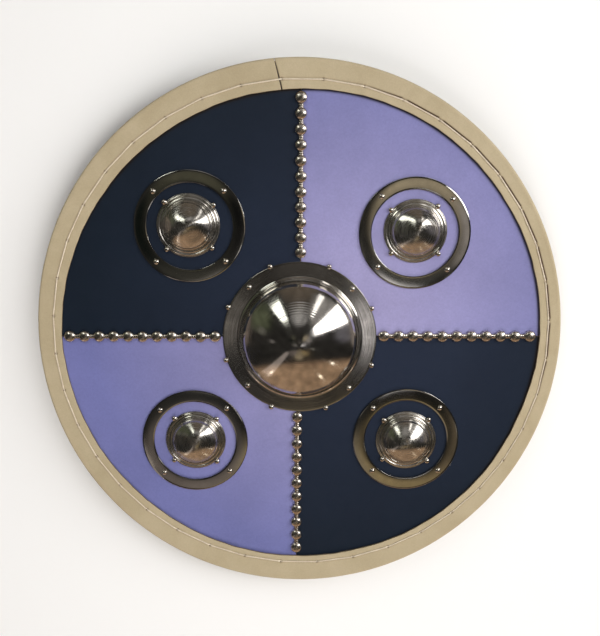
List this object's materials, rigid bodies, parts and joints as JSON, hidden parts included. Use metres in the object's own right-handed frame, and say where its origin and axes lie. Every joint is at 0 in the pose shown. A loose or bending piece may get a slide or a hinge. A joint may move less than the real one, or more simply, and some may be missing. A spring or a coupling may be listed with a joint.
{
  "type": "round wooden shield",
  "caption": "Round wooden shield, quartered leather field, stitched leather edge, hollow steel boss, ringed corner bosses, cross of stud strips and a wooden hand grip behind.",
  "frame": {"origin": "centre of the shield on the floor, at the underside of the hand grip, lying face up", "axes": "+Z out of the painted face, +Y to the top of the shield, +X to the right as seen from the front"},
  "size_m": [0.6112, 0.6256, 0.0721],
  "materials": {
    "pale_wood": "oiled, satin",
    "navy_leather": "dyed, matte, faintly mottled",
    "lavender_leather": "dyed, matte, faintly mottled",
    "tan_leather": "undyed, matte, lightly soiled",
    "waxed_thread": "waxed, twisted",
    "polished_steel": "mirror polished with fine spinning lines",
    "nickel_plate": "nickel plated, polished, slightly warm"
  },
  "bodies": {
    "root": {"board": "pale_wood", "boss_lower_left": "polished_steel", "boss_lower_right": "polished_steel", "boss_upper_left": "polished_steel", "boss_upper_right": "polished_steel", "centre_boss": "polished_steel", "centre_nail_01": "nickel_plate", "centre_nail_02": "nickel_plate", "centre_nail_03": "nickel_plate", "centre_nail_04": "nickel_plate", "centre_nail_05": "nickel_plate", "centre_nail_06": "nickel_plate", "centre_nail_07": "nickel_plate", "centre_nail_08": "nickel_plate", "centre_nail_09": "nickel_plate", "centre_nail_10": "nickel_plate", "centre_nail_11": "nickel_plate", "centre_nail_12": "nickel_plate", "edge_binding": "tan_leather", "facing_lower_left": "lavender_leather", "facing_lower_right": "navy_leather", "facing_upper_left": "navy_leather", "facing_upper_right": "lavender_leather", "hand_grip": "pale_wood", "nail_lower_left_1": "nickel_plate", "nail_lower_left_2": "nickel_plate", "nail_lower_left_3": "nickel_plate", "nail_lower_left_4": "nickel_plate", "nail_lower_right_1": "nickel_plate", "nail_lower_right_2": "nickel_plate", "nail_lower_right_3": "nickel_plate", "nail_lower_right_4": "nickel_plate", "nail_upper_left_1": "nickel_plate", "nail_upper_left_2": "nickel_plate", "nail_upper_left_3": "nickel_plate", "nail_upper_left_4": "nickel_plate", "nail_upper_right_1": "nickel_plate", "nail_upper_right_2": "nickel_plate", "nail_upper_right_3": "nickel_plate", "nail_upper_right_4": "nickel_plate", "ring_lower_left": "polished_steel", "ring_lower_right": "polished_steel", "ring_upper_left": "polished_steel", "ring_upper_right": "polished_steel", "stud_strip_bottom": "nickel_plate", "stud_strip_left": "nickel_plate", "stud_strip_right": "nickel_plate", "stud_strip_top": "nickel_plate", "thread_back": "waxed_thread", "thread_front": "waxed_thread"}
  },
  "joints": []
}
